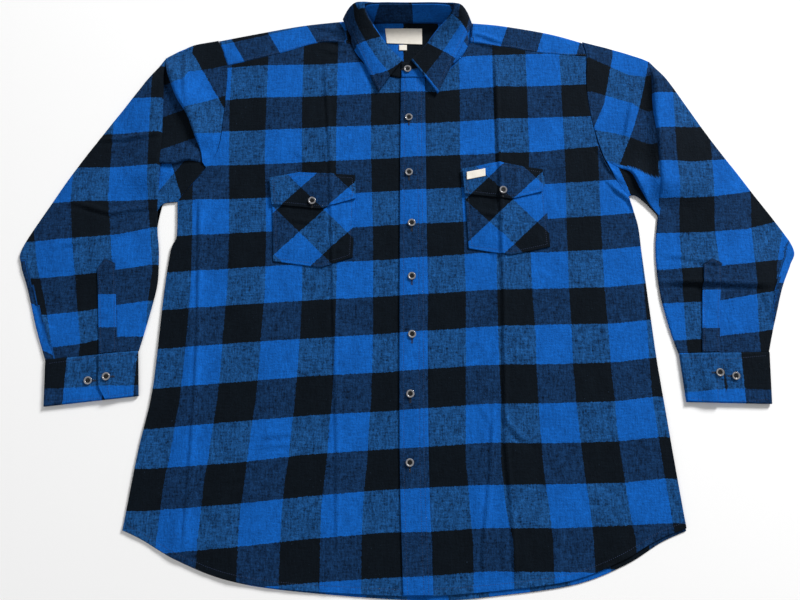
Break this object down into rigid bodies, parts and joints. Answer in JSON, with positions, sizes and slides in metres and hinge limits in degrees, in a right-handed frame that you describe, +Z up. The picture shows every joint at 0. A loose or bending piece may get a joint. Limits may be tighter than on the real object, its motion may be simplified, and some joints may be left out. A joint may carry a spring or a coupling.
{
  "type": "flannel shirt laid flat",
  "caption": "Big men's button-front flannel shirt in blue and black buffalo check, buttoned up and laid flat on its back, with long sleeves, flap chest pockets and a turned-down collar.",
  "frame": {"origin": "on the surface the shirt lies on, under the middle of its whole outline", "axes": "+X from the sleeve on the left of the picture to the one on its right, which is the wearer's left; +Y from the hem to the collar; +Z up from the surface"},
  "size_m": [1.2218, 0.9522, 0.0362],
  "materials": {
    "flannel": "brushed flannel, dull",
    "flannel_bias": "brushed flannel cut on the bias, dull",
    "label_tape": "plain woven tape",
    "button_resin": "polished"
  },
  "bodies": {
    "root": {"back_panel": "flannel", "front_left": "flannel", "front_right": "flannel", "yoke": "flannel", "sleeve_left": "flannel", "sleeve_right": "flannel", "placket": "flannel", "sleeve_placket_left": "flannel", "sleeve_placket_right": "flannel", "cuff_left": "flannel", "cuff_right": "flannel", "collar_stand": "flannel", "collar_leaf": "flannel", "pocket_left": "flannel_bias", "pocket_right": "flannel_bias", "flap_left": "flannel_bias", "flap_right": "flannel_bias", "neck_label": "label_tape", "size_tab": "label_tape", "pocket_label": "label_tape", "button_front_1": "button_resin", "button_front_2": "button_resin", "button_front_3": "button_resin", "button_front_4": "button_resin", "button_front_5": "button_resin", "button_front_6": "button_resin", "button_front_7": "button_resin", "button_front_8": "button_resin", "button_flap_left": "button_resin", "button_flap_right": "button_resin", "button_cuff_left_1": "button_resin", "button_cuff_left_2": "button_resin", "button_cuff_right_1": "button_resin", "button_cuff_right_2": "button_resin"}
  },
  "joints": []
}
